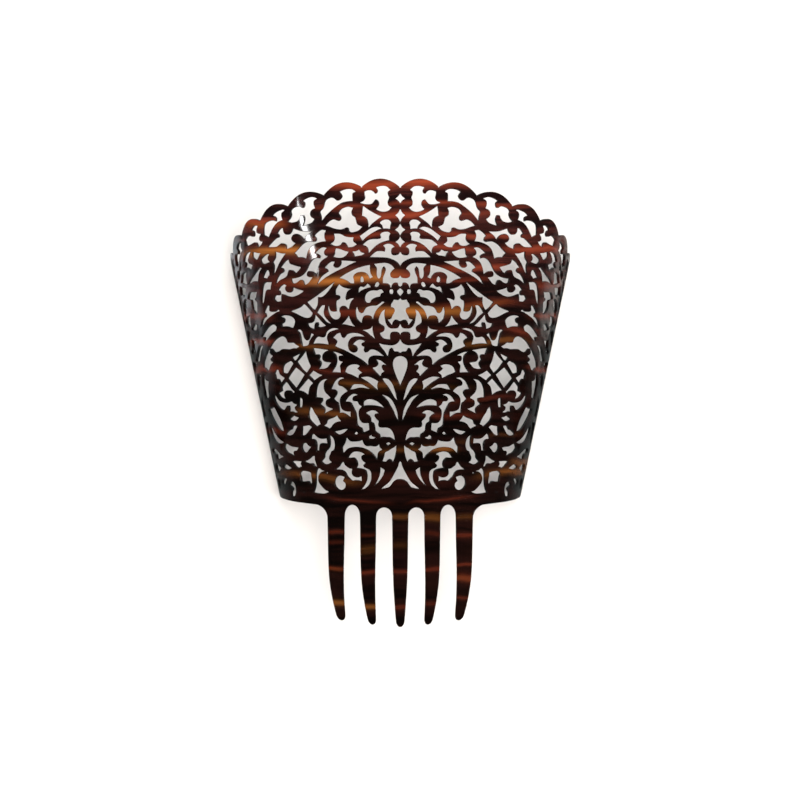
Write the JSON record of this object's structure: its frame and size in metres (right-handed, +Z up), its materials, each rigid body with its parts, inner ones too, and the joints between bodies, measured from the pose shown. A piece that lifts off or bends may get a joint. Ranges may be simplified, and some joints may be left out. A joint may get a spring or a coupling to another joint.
{
  "type": "peineta comb",
  "caption": "Tall curved hair comb bent from one thin glossy sheet, with a pierced scrollwork panel, a lobed crest and long teeth.",
  "frame": {"origin": "centre of the footprint, on the surface it rests on", "axes": "+Y towards the crest, +Z up through the curved front face, X across from side edge to side edge"},
  "size_m": [0.1672, 0.2194, 0.0915],
  "materials": {
    "tortoiseshell": "polished"
  },
  "bodies": {
    "root": {"comb": "tortoiseshell"}
  },
  "joints": []
}
